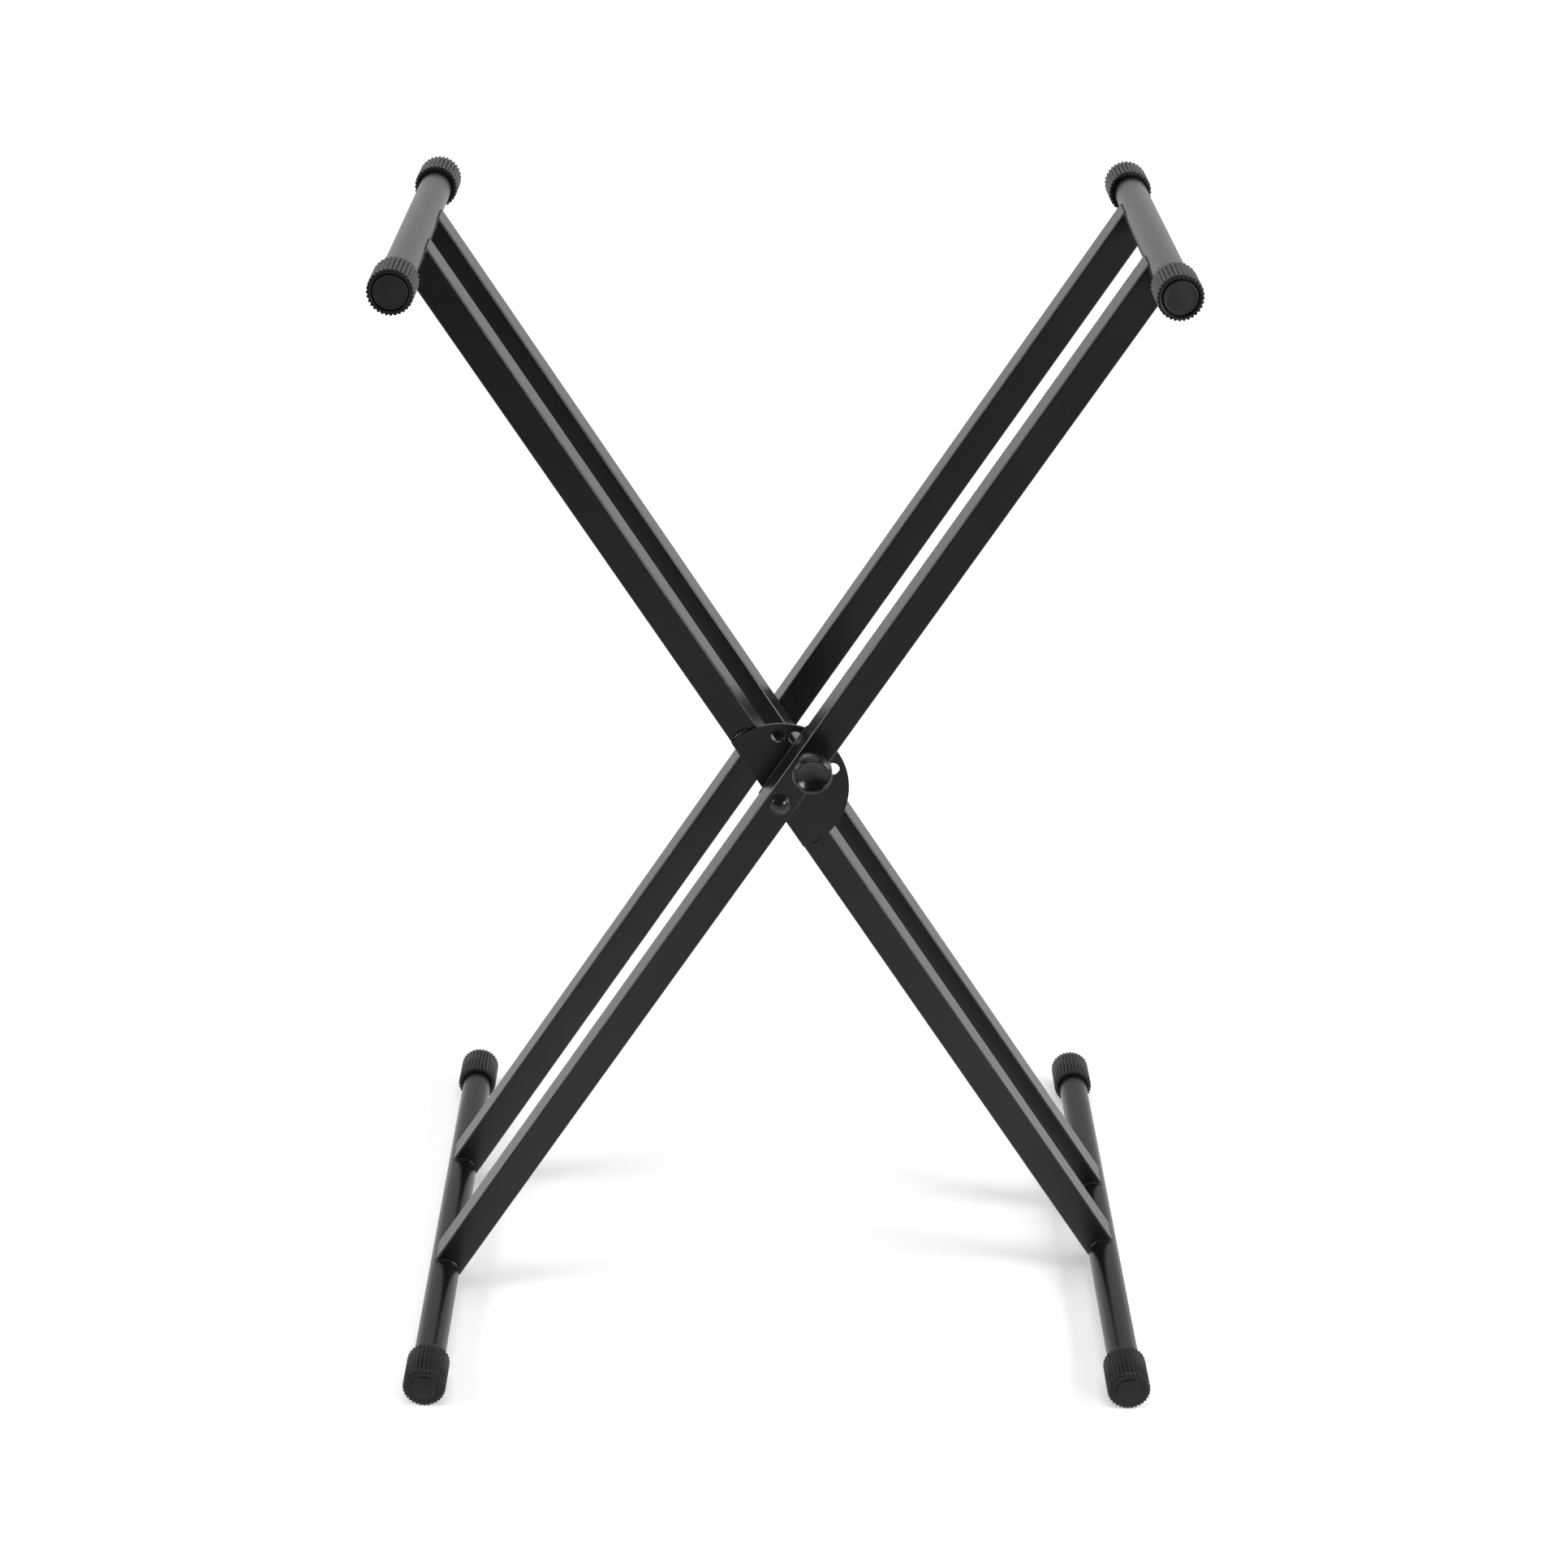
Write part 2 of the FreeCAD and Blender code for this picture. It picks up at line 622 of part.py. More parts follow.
def make_lock_knob():
    """Knurled knob with a socket over the housing's nose and a seat for its cap."""
    body = new_body("lock_knob", lock_frame())
    turned(body, [
        ("Size.stem_radius + Size.running_fit", "-Size.knob_front + Size.knob_cap_seat"),
        ("Size.knob_cap_radius + 0.1", "-Size.knob_front + Size.knob_cap_seat"),
        ("Size.knob_cap_radius + 0.1", "-Size.knob_front"),
        ("Size.knob_radius - Size.knob_edge", "-Size.knob_front"),
        ("Size.knob_radius", "-Size.knob_front + Size.knob_edge"),
        ("Size.knob_radius", "-Size.knob_rear"),
        ("Size.knob_socket_radius", "-Size.knob_rear"),
        ("Size.knob_socket_radius", "-Size.housing_nose - Size.end_float"),
        ("Size.stem_radius + Size.running_fit", "-Size.housing_nose - Size.end_float"),
    ], "knob")
    knurl = new_sketch(body, "knurl_section")
    knurl.AttachmentOffset = Placement(Vector(0, 0, -number("Size.knob_front - Size.knob_edge")), Rotation())
    outline(knurl, [
        ("-Size.knurl_width / 2", "Size.knob_radius - 0.2"),
        ("Size.knurl_width / 2", "Size.knob_radius - 0.2"),
        ("0.15", "Size.knob_radius + Size.knurl_height"),
        ("-0.15", "Size.knob_radius + Size.knurl_height"),
    ])
    first = pad(body, knurl, "Size.knob_front - Size.knob_edge - Size.knob_rear", name="first_knurl")
    repeat_round(body, first, "Size.knurl_count", "360", "Z_Axis", "knurls")


def make_lock_knob_cap():
    """Cap with a dished face, sunk in the knob's front."""
    body = new_body("lock_knob_cap", lock_frame())
    rim = "-Size.knob_front + Size.knob_cap_lip"
    turned(body, crown("Size.knob_cap_radius", rim, "-Size.knob_cap_dish") + [
        ("0", "-Size.knob_front + Size.knob_cap_seat"),
        ("Size.knob_cap_radius", "-Size.knob_front + Size.knob_cap_seat"),
    ], "cap")


# --- the stand ------------------------------------------------------------------------------

for arm in ARMS:
    make_tube(arm, "top", "Size.top_tube_length")
    make_tube(arm, "floor", "Size.floor_tube_length")
    for side in SIDES:
        make_bar(arm, side)
        make_bush(arm, side)
        make_grip(arm, side)
        make_plug(arm, side)
        make_foot(arm, side)
make_locking_plate()
make_backing_plate()

for side in SIDES:
    make_pivot_bolt(side)
    make_pivot_cap(side)
    make_pivot_nut(side)
    spacer_start = "Size.bar_depth + Size.backing_thickness" if side == "front" else "Size.bar_depth"
    make_ring("%s_pivot_spacer" % side, side, "Size.spacer_radius",
              "Size.bolt_radius + Size.running_fit", spacer_start, "Size.%s_spacer" % side)
    make_ring("%s_pivot_washer" % side, side, "Size.washer_radius", "Size.bolt_radius + Size.running_fit",
              "2 * Size.bar_depth + Size.joint_gap + Size.end_float", "Size.washer_thickness")

make_lock_housing()
make_lock_guide()
make_lock_pin()
make_lock_spring()
make_lock_knob()
make_lock_knob_cap()

doc.recompute()

for item in doc.Objects:
    if "Invalid" in item.State or "Error" in item.State:
        raise RuntimeError("%s: %s" % (item.Label, item.State))
os.makedirs("parts", exist_ok=True)
for part in parts:
    if part.Shape.isNull() or not part.Shape.isValid() or len(part.Shape.Solids) != 1:
        raise RuntimeError("%s has no single valid solid" % part.Label)
    part.Shape.exportStep("parts/%s.step" % part.Label)
    print("%-22s %10.1f mm3" % (part.Label, part.Shape.Volume))
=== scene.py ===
import math

import bmesh
import bpy
from mathutils import Matrix, Vector


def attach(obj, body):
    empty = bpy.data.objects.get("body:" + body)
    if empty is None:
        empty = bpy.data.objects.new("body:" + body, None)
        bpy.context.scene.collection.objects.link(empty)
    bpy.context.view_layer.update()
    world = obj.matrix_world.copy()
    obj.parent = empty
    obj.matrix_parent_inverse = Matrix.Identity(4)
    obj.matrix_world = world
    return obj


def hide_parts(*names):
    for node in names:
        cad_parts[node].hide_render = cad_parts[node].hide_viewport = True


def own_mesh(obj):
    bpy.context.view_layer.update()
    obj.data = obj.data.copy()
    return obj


# A folding keyboard stand: two crossed pairs of black powder-coated steel arms with
# ribbed rubber sleeves on top, ribbed rubber feet below, and a spring knob that locks
# the cross on a plate with five holes.  Metres, +Z up, the knob's side faces -Y.

MM = 0.001

# --- driving dimensions, as in the frame -------------------------------------

REACH = 517 * MM             # pivot to the axis of the tube at either end of an arm
LEAN = math.radians(32.9)
HALF_DEPTH = 99 * MM
BAR_WIDTH = 25 * MM
BAR_DEPTH = 30 * MM
BAR_SETBACK = 6 * MM
JOINT_GAP = 6 * MM
TUBE_RADIUS = 12.7 * MM
TUBE_WALL = 1.5 * MM
TOP_TUBE = 370.4 * MM
FLOOR_TUBE = 530 * MM
RIBS = 32
RIB_CREST = 17.15 * MM
RIB_ROOT = 16 * MM           # where the ribs spring from
RUBBER_LENGTH = 39 * MM
PLUG_SEAT = 2.8 * MM
FOOT_WALL = 4 * MM
LOCK_RADIUS = 45 * MM
PLATE_RADIUS = 55.2 * MM
KNOB_RADIUS = 15.2 * MM
KNOB_FRONT = 32 * MM
KNOB_REAR = 18 * MM
KNURLS = 60

SPREAD = REACH * math.sin(LEAN)
RISE = REACH * math.cos(LEAN)
PIVOT_HEIGHT = RISE + RIB_CREST
SIDES = {"front": -1, "rear": 1}
ARMS = {"outer": 1, "inner": -1}
BODY_OF_ARM = {"outer": "outer_arms", "inner": "inner_arms"}

# --- camera, fitted to the picture -------------------------------------------

CAMERA_PLACE = (-0.0173057, -2.3630170, 1.4475221)
CAMERA_YAW = -0.00884167
CAMERA_TILT = 0.40793878     # looking down
CAMERA_ROLL = 0.00929376
CAMERA_LENS = 71.7966        # on a 36 mm sensor


# --- handling pieces ---------------------------------------------------------

def alone(piece):
    """Leave this piece selected and active, and nothing else."""
    bpy.ops.object.select_all(action="DESELECT")
    piece.select_set(True)
    bpy.context.view_layer.objects.active = piece


def open_mesh(piece, kind):
    alone(piece)
    bpy.ops.object.mode_set(mode="EDIT")
    bpy.ops.mesh.select_mode(type=kind)
    bpy.ops.mesh.select_all(action="DESELECT")


def close_mesh():
    bpy.ops.object.mode_set(mode="OBJECT")


def pick(piece, kind, wanted):
    """Select the verts, edges or faces of an open mesh that wanted(item) holds for."""
    bpy.ops.mesh.select_all(action="DESELECT")
    mesh = bmesh.from_edit_mesh(piece.data)
    for item in getattr(mesh, kind):
        if wanted(item):
            item.select_set(True)
    mesh.select_flush_mode()
    bmesh.update_edit_mesh(piece.data)


def smooth(piece, angle=35):
    alone(piece)
    bpy.ops.object.shade_smooth_by_angle(angle=math.radians(angle))


def placed(piece, matrix):
    """Set a piece down and put its place into its mesh."""
    piece.matrix_world = matrix
    alone(piece)
    bpy.ops.object.transform_apply(location=True, rotation=True, scale=True)


def copied(piece, name):
    twin = bpy.data.objects.new(name, piece.data.copy())
    twin.data.name = name
    bpy.context.scene.collection.objects.link(twin)
    return twin


def apply_modifier(piece, kind, **settings):
    alone(piece)
    modifier = piece.modifiers.new(kind.lower(), kind)
    for name, value in settings.items():
        setattr(modifier, name, value)
    bpy.ops.object.modifier_apply(modifier=modifier.name)


def dressed(piece, body, slot, material, *nodes):
    """Hand a finished piece to its body, in the given material. The slot argument is not used."""
    piece.data.materials.clear()
    piece.data.materials.append(material)
    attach(piece, body)
    if nodes:
        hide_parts(*nodes)
    return piece


# --- places ------------------------------------------------------------------

def arm_frame(arm):
    """An arm's own frame: origin at the pivot, +Z up the arm, Y as the stand's."""
    turn = Matrix.Rotation(ARMS[arm] * LEAN, 4, "Y")
    return Matrix.Translation((0, 0, PIVOT_HEIGHT)) @ turn


def facing_in(side):
    """Turns a piece so that its +Z points from one side of the stand to the middle."""
    return Matrix.Rotation(math.radians(90) * SIDES[side], 4, "X")


def on_arm(arm, across, depth, along, turn=Matrix()):
    return arm_frame(arm) @ Matrix.Translation((across, depth, along)) @ turn


def tube_end(arm, level, side, half_length):
    upward = 1 if level == "top" else -1
    place = (ARMS[arm] * upward * SPREAD, SIDES[side] * half_length, PIVOT_HEIGHT + upward * RISE)
    return Matrix.Translation(place) @ facing_in(side)


def pivot_end(side):
    return Matrix.Translation((0, SIDES[side] * HALF_DEPTH, PIVOT_HEIGHT)) @ facing_in(side)


def bar_faces(arm, side):
    """Depths of a bar's outward and inward faces."""
    outward = HALF_DEPTH if arm == "outer" else HALF_DEPTH - BAR_DEPTH - JOINT_GAP
    return SIDES[side] * outward, SIDES[side] * (outward - BAR_DEPTH)


# --- turning and ribbing -----------------------------------------------------

def turned(name, profile, steps, closed=False):
    """Draw a profile of (radius, height) points in millimetres and spin it round the Z axis."""
    bpy.ops.object.select_all(action="DESELECT")
    bpy.ops.mesh.primitive_plane_add(size=MM)
    piece = bpy.context.object
    piece.name = name
    piece.data.name = name
    open_mesh(piece, "VERT")
    bpy.ops.mesh.select_all(action="SELECT")
    bpy.ops.mesh.merge(type="CENTER")
    at = Vector((0, 0))
    for step, point in enumerate(profile):
        shift = Vector(point) * MM - at
        if step:
            bpy.ops.mesh.extrude_region()
        bpy.ops.transform.translate(value=(shift.x, 0, shift.y))
        at = Vector(point) * MM
    if closed:
        last = len(profile) - 1
        pick(piece, "verts", lambda v: v.index in (0, last))
        bpy.ops.mesh.edge_face_add()
    bpy.ops.mesh.select_all(action="SELECT")
    bpy.ops.mesh.spin(steps=steps, angle=2 * math.pi, center=(0, 0, 0), axis=(0, 0, 1))
    bpy.ops.mesh.select_all(action="SELECT")
    bpy.ops.mesh.remove_doubles(threshold=MM / 100)
    bpy.ops.mesh.normals_make_consistent(inside=False)
    close_mesh()
    return piece


def pull_columns(piece, count, low, high, radius, pulls):
    """Pull columns of points beyond a radius in or out, count times round.

    Heights and radius are in millimetres.  A pull is (phase, scale): the share of a rib's
    pitch between the rib and the column, and how far out the column goes.
    """
    hair = MM / 1000
    near = 0.02
    open_mesh(piece, "VERT")
    for phase, scale in pulls:
        def in_column(v, phase=phase):
            turn = math.atan2(v.co.x, v.co.y) / (2 * math.pi) * count
            apart = abs(turn - round(turn))
            reach = math.hypot(v.co.x, v.co.y)
            level = low * MM - hair < v.co.z < high * MM + hair
            return abs(apart - phase) < near and reach > radius * MM and level
        pick(piece, "verts", in_column)
        bpy.ops.transform.resize(value=(scale, scale, 1), center_override=(0, 0, 0))
    close_mesh()


def crown(radius, rim, height, steps):
    """Profile of a shallow dome, or of a dish if height is below 0, from the axis out to its rim."""
    shares = [step / steps for step in range(steps + 1)]
    return [(radius * share, rim - height * (1 - share ** 2)) for share in shares]


# --- materials ---------------------------------------------------------------

def ranged(tree, value, start, end, low=0.0, high=1.0, smooth=False):
    """A value that runs from low to high while the one it reads goes from start to end."""
    span = tree.nodes.new("ShaderNodeMapRange")
    if smooth:
        span.interpolation_type = "SMOOTHSTEP"
    for name, number in (("From Min", start), ("From Max", end), ("To Min", low), ("To Max", high)):
        span.inputs[name].default_value = number
    tree.links.new(value, span.inputs["Value"])
    return span.outputs["Result"]


class Finish:
    """A procedural material: a Principled shader and the nodes that feed it."""

    def __init__(self, name, colour, roughness, metallic=0.0, specular=0.5, coat=0.0):
        self.material = bpy.data.materials.new(name)
        self.material.use_nodes = True
        self.tree = self.material.node_tree
        self.shader = self.tree.nodes["Principled BSDF"]
        self.shader.inputs["Base Color"].default_value = (*colour, 1)
        self.shader.inputs["Roughness"].default_value = roughness
        self.shader.inputs["Metallic"].default_value = metallic
        self.shader.inputs["Specular IOR Level"].default_value = specular
        self.shader.inputs["Coat Weight"].default_value = coat
        self.place = self.tree.nodes.new("ShaderNodeTexCoord").outputs["Object"]
        self.bumps = None

    def node(self, kind, **inputs):
        made = self.tree.nodes.new(kind)
        for name, value in inputs.items():
            made.inputs[name.replace("_", " ")].default_value = value
        return made

    def link(self, out, into):
        self.tree.links.new(out, into)

    def noise(self, scale, detail=3.0, roughness=0.55, stretch=None):
        grain = self.node("ShaderNodeTexNoise", Scale=scale, Detail=detail, Roughness=roughness)
        place = self.place
        if stretch:
            mapping = self.node("ShaderNodeMapping")
            mapping.inputs["Scale"].default_value = stretch
            self.link(place, mapping.inputs["Vector"])
            place = mapping.outputs["Vector"]
        self.link(place, grain.inputs["Vector"])
        return grain.outputs["Fac"]

    def spread(self, value, low, high, name, start=0.3, end=0.7):
        """Feed a socket with a value that runs from low to high."""
        self.link(ranged(self.tree, value, start, end, low, high), self.shader.inputs[name])

    def tint(self, value, dark, light, start=0.3, end=0.7):
        """Run the base colour from dark to light."""
        ramp = self.tree.nodes.new("ShaderNodeValToRGB")
        for stop, position, colour in zip(ramp.color_ramp.elements, (start, end), (dark, light)):
            stop.position = position
            stop.color = (*colour, 1)
        self.link(value, ramp.inputs["Fac"])
        self.link(ramp.outputs["Color"], self.shader.inputs["Base Color"])

    def bump(self, value, distance, strength=1.0):
        bump = self.node("ShaderNodeBump", Distance=distance, Strength=strength)
        self.link(value, bump.inputs["Height"])
        if self.bumps:
            self.link(self.bumps, bump.inputs["Normal"])
        self.bumps = bump.outputs["Normal"]
        self.link(self.bumps, self.shader.inputs["Normal"])


def powder_coat():
    """Satin black powder coat: fine orange peel with a finer grain on it."""
    coat = Finish("powder_coat", (0.0055, 0.0055, 0.0058), 0.25)
    coat.tint(coat.noise(24, 4), (0.0045, 0.0045, 0.0048), (0.0065, 0.0065, 0.0069))
    coat.spread(coat.noise(260, 4), 0.285, 0.315, "Roughness")
    coat.bump(coat.noise(1500, 2), 0.012 * MM)
    coat.bump(coat.noise(450, 2), 0.006 * MM)
    return coat.material


def ribbed_rubber():
    """Matte black rubber, dusty in its grain."""
    rubber = Finish("ribbed_rubber", (0.0075, 0.0073, 0.0075), 0.4, specular=0.34)
    rubber.tint(rubber.noise(160, 6, 0.7), (0.005, 0.0049, 0.005), (0.010, 0.0098, 0.010))
    rubber.spread(rubber.noise(700, 3), 0.34, 0.46, "Roughness")
    rubber.bump(rubber.noise(1100, 4, 0.7), 0.03 * MM)
    return rubber.material


def moulded_plastic():
    """Satin moulded plastic with spark-eroded grain."""
    plastic = Finish("moulded_plastic", (0.010, 0.010, 0.0105), 0.36)
    plastic.tint(plastic.noise(90, 4), (0.008, 0.008, 0.0084), (0.013, 0.013, 0.0136))
    plastic.spread(plastic.noise(220, 3), 0.38, 0.48, "Roughness")
    plastic.bump(plastic.noise(2200, 2), 0.02 * MM)
    return plastic.material


def knob_plastic():
    plastic = Finish("knob_plastic", (0.012, 0.012, 0.012), 0.34)
    plastic.tint(plastic.noise(150, 4), (0.010, 0.010, 0.010), (0.016, 0.016, 0.016))
    plastic.spread(plastic.noise(300, 3), 0.12, 0.2, "Roughness")
    plastic.bump(plastic.noise(2600, 2), 0.006 * MM)
    return plastic.material


def polished_plastic():
    """Polished black caps, with faint moulding waves and hairline scuffs."""
    gloss = Finish("polished_plastic", (0.006, 0.006, 0.0065), 0.14, coat=0.2)
    gloss.spread(gloss.noise(500, 5, 0.7, (1, 1, 0.25)), 0.14, 0.24, "Roughness")
    gloss.bump(gloss.noise(120, 2), 0.02 * MM)
    return gloss.material


def black_nylon():
    nylon = Finish("black_nylon", (0.02, 0.02, 0.02), 0.5)
    nylon.tint(nylon.noise(240, 4), (0.014, 0.014, 0.014), (0.026, 0.026, 0.026))
    nylon.bump(nylon.noise(1600, 3), 0.02 * MM)
    return nylon.material


def black_zinc():
    """Blackened steel with turning marks."""
    zinc = Finish("black_zinc", (0.05, 0.05, 0.053), 0.34, metallic=1.0)
    zinc.tint(zinc.noise(350, 5, 0.65), (0.03, 0.03, 0.032), (0.075, 0.075, 0.08))
    zinc.spread(zinc.noise(180, 4), 0.27, 0.42, "Roughness")
    zinc.bump(zinc.noise(900, 3, 0.6, (1, 6, 1)), 0.015 * MM)
    return zinc.material


def bright_zinc():
    zinc = Finish("bright_zinc", (0.55, 0.55, 0.56), 0.26, metallic=1.0)
    zinc.tint(zinc.noise(260, 5, 0.65), (0.47, 0.47, 0.49), (0.62, 0.62, 0.63))
    zinc.spread(zinc.noise(400, 4), 0.2, 0.34, "Roughness")
    zinc.bump(zinc.noise(1200, 3, 0.6, (1, 8, 1)), 0.01 * MM)
    return zinc.material


# --- steel work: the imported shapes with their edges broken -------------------

def softened(node, edge, segments=2):
    """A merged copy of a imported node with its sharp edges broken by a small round."""
    piece = bpy.data.objects.new(node + "_dressed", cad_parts[node].data.copy())
    bpy.context.scene.collection.objects.link(piece)
    open_mesh(piece, "VERT")
    bpy.ops.mesh.select_all(action="SELECT")
    bpy.ops.mesh.remove_doubles(threshold=MM / 200)
    bpy.ops.mesh.dissolve_limited(angle_limit=math.radians(0.5))
    close_mesh()
    if edge:
        apply_modifier(piece, "BEVEL", width=edge, segments=segments, limit_method="ANGLE",
                       angle_limit=math.radians(40), use_clamp_overlap=True)
    smooth(piece, 40)
    apply_modifier(piece, "WEIGHTED_NORMAL", keep_sharp=True, weight=100)
    return piece


def tube(name, length):
    """Round cross tube with its ends chamfered."""
    half = length / MM / 2
    outer = TUBE_RADIUS / MM
    inner = (TUBE_RADIUS - TUBE_WALL) / MM
    profile = [(inner, -half), (outer - 0.3, -half), (outer, 0.3 - half),
               (outer, half - 0.3), (outer - 0.3, half), (inner, half)]
    piece = turned(name, profile, 96, closed=True)
    smooth(piece)
    return piece


def bead(name, path, thickness, closed, steps):
    """Weld bead along a path of (x, y, z, swell) points, with a round section of some steps."""
    curve = bpy.data.curves.new(name, "CURVE")
    curve.dimensions = "3D"
    curve.bevel_depth = thickness
    curve.bevel_resolution = steps
    curve.resolution_u = 2 * steps
    curve.use_fill_caps = not closed
    spline = curve.splines.new("NURBS")
    spline.points.add(len(path) - 1)
    for point, (x, y, z, swell) in zip(spline.points, path):
        point.co = (x, y, z, 1)
        point.radius = swell
    spline.order_u = 3
    spline.use_cyclic_u = closed
    spline.use_endpoint_u = not closed
    piece = bpy.data.objects.new(name, curve)
    bpy.context.scene.collection.objects.link(piece)
    alone(piece)
    bpy.ops.object.convert(target="MESH")
    return bpy.context.object


def round_bar_end(depth_out, depth_in):
    """Points round a bar's coped end, in the arm's frame with the tube's axis at the origin."""
    turns = 6                       # steps from the middle of the cope to its corner
    wrap = math.acos(BAR_SETBACK / TUBE_RADIUS)
    flank = BAR_WIDTH / 2 - 0.6 * MM
    end = -BAR_SETBACK - 0.2 * MM
    points = []
    for depth, other, way in ((depth_out, depth_in, 1), (depth_in, depth_out, -1)):
        for step in range(-turns, turns + 1):
            turn = way * wrap * step / turns
            points.append((TUBE_RADIUS * math.sin(turn), depth, -TUBE_RADIUS * math.cos(turn)))
        for share in (0.04, 0.15, 0.3, 0.45, 0.6, 0.75, 0.9, 0.96):
            points.append((way * flank, depth + (other - depth) * share, end))
    return points


def weld_bead(name, arm, side, level):
    """Rippled bead round the end of a bar where it meets its tube."""
    upward = 1 if level == "top" else -1
    path = []
    for index, (across, depth, along) in enumerate(round_bar_end(*bar_faces(arm, side))):
        swell = 0.85 + 0.16 * math.sin(index * 2.4) + 0.1 * math.sin(index * 5.1 + len(name))
        path.append((across, depth, along * upward, swell))
    piece = bead(name, path, 1.1 * MM, closed=True, steps=3)
    placed(piece, on_arm(arm, 0, 0, upward * REACH))
    smooth(piece, 60)
    return piece


def plate_bead(name, upward, height):
    """Short heaped bead between the locking plate's rim and the bar's front face."""
    last = 12
    start, sweep = math.radians(-9), math.radians(14)
    face = bar_faces("inner", "front")[0]
    path = []
    for index in range(last + 1):
        share = index / last
        turn = start + sweep * share
        reach = PLATE_RADIUS + (0.9 + 0.35 * math.sin(index * 1.9)) * MM
        depth = face - (height + 0.4 * math.sin(index * 2.7 + 1)) * MM
        swell = 0.35 + 0.65 * math.sin(math.pi * (0.12 + 0.76 * share)) + 0.12 * math.sin(index * 2.4)
        path.append((reach * math.sin(turn), depth, reach * math.cos(turn) * upward, swell))
    piece = bead(name, path, 1.5 * MM, closed=False, steps=4)
    placed(piece, arm_frame("inner"))
    smooth(piece, 60)
    return piece


# --- rubber and plastic ends -------------------------------------------------

LIP = 15.6                   # radius where the rubber's ends turn in, in millimetres
BORE = TUBE_RADIUS / MM + 0.05
RIB_POINTS = 6 * RIBS

# Across half a rib: the share of its pitch from the crest, and the radius there, in millimetres
RIB_SHAPE = [(0, RIB_CREST / MM), (1 / 6, 17.02), (2 / 6, 16.42), (1 / 2, 15.85)]
RIB_PULLS = [(phase, radius / (RIB_ROOT / MM)) for phase, radius in RIB_SHAPE]
END_PULLS = [(0, 1 / 0.978), (1 / 6, 1 / 0.985), (2 / 6, 1 / 0.998), (1 / 2, 0.99)]


def sleeve():
    """Ribbed rubber sleeve, open at its outer end round the plug."""
    length = RUBBER_LENGTH / MM
    root = RIB_ROOT / MM
    seat = PLUG_SEAT / MM
    mouth = 14
    profile = [(mouth, 0.25), (mouth + 0.3, 0), (LIP, 0), (root, 0.35), (root, length - 0.35), (LIP, length),
               (BORE + 0.5, length), (BORE, length - 0.5), (BORE, seat), (mouth, seat)]
    piece = turned("sleeve", profile, RIB_POINTS, closed=True)
    pull_columns(piece, RIBS, 0, 0, LIP - 0.2, END_PULLS)
    pull_columns(piece, RIBS, length, length, LIP - 0.2, END_PULLS)
    pull_columns(piece, RIBS, 0.3, length - 0.3, root - 0.2, RIB_PULLS)
    smooth(piece, 50)
    return piece


def foot():
    """Closed ribbed rubber foot with a low disc on its end."""
    length = RUBBER_LENGTH / MM
    root = RIB_ROOT / MM
    wall = FOOT_WALL / MM
    disc = 10.2
    profile = [(0, -0.8), (disc - 0.6, -0.8), (disc - 0.15, -0.65), (disc, -0.3), (disc, 0.25),
               (disc + 0.4, 0.1), (disc + 1, 0), (LIP - 1, 0), (LIP, 0.3), (root, 1.1), (root, length - 0.5),
               (LIP, length), (BORE + 0.5, length), (BORE, length - 0.5), (BORE, wall), (0, wall)]
    piece = turned("foot", profile, RIB_POINTS)
    pull_columns(piece, RIBS, 0.29, 0.31, LIP - 0.2, END_PULLS)
    pull_columns(piece, RIBS, length, length, LIP - 0.2, END_PULLS)
    pull_columns(piece, RIBS, 1, length - 0.4, root - 0.2, RIB_PULLS)
    smooth(piece, 50)
    return piece


def plug():
    """Domed plug with a rolled rim and a hollow spigot in the tube."""
    head = 12.9
    spigot = (TUBE_RADIUS - TUBE_WALL) / MM - 0.05
    depth = 16
    wall = 1.5
    floor = 2
    profile = [(0, -2.5), (4, -2.47), (8, -2.35), (11, -2.12), (11.4, -2.2), (11.9, -2.28), (12.4, -2.15),
               (12.75, -1.8), (head, -1.3), (head, 0), (spigot, 0), (spigot, depth - 0.5),
               (spigot - 0.4, depth), (spigot - wall, depth), (spigot - wall, floor), (0, floor)]
    piece = turned("plug", profile, 96)
    smooth(piece, 40)
    return piece


# --- pivots and knob ---------------------------------------------------------

CAP_RADIUS = 12.5            # the knob's cap, in millimetres
CAP_DEPTH = 4.6


def pivot_cap():
    """Flanged polished dome over the head of a pivot bolt, with two small nicks in its flange."""
    dome = 7.7
    flange = 8.8
    hollow = 6.1                    # round the bolt's head
    nick_depth = 0.5 * MM
    nick_places = (50, 130)         # degrees
    nick_half_width = 1.5
    profile = crown(dome, -1, 3.6, 12)
    profile += [(7.95, -0.92), (8.45, -0.95), (8.7, -0.85), (flange, -0.6), (flange, 0), (hollow, 0),
                (hollow, -1.4), (5, -2.4), (0, -2.4)]
    piece = turned("pivot_cap", profile, 144)
    open_mesh(piece, "VERT")
    for turn in nick_places:
        def in_nick(v, turn=turn):
            apart = abs(math.degrees(math.atan2(v.co.y, v.co.x)) - turn)
            on_flange = math.hypot(v.co.x, v.co.y) > (dome + 0.1) * MM and v.co.z < -nick_depth
            return apart < nick_half_width and on_flange
        pick(piece, "verts", in_nick)
        bpy.ops.transform.translate(value=(0, 0, nick_depth))
    close_mesh()
    smooth(piece, 40)
    return piece


